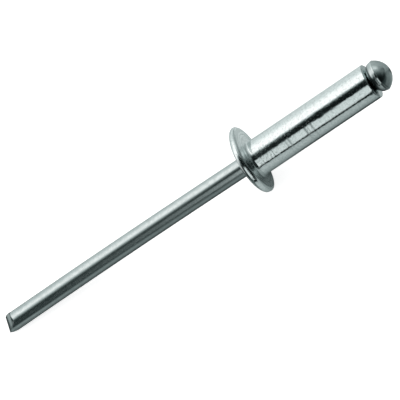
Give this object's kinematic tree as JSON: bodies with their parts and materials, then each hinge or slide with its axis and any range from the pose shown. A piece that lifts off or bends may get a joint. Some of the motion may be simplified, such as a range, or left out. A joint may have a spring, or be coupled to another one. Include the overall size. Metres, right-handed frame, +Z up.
{
  "type": "blind rivet",
  "caption": "Open-end blind rivet: a domed, flanged tube on a headed pull wire that breaks off inside it, lying as it comes to rest.",
  "frame": {"origin": "on the table that the rivet lies on, below the middle of its bounding box", "axes": "+X along the table towards the blind end, +Z up; the rivet's own axis rises 4.72 degrees from +X towards +Z"},
  "size_m": [0.0608, 0.0094, 0.0093],
  "materials": {
    "tube_metal": "bright, with fine handling scratches",
    "wire_metal": "drawn wire, a little duller than the tube"
  },
  "bodies": {
    "root": {"rivet_body": "tube_metal", "mandrel": "wire_metal"}
  },
  "joints": []
}
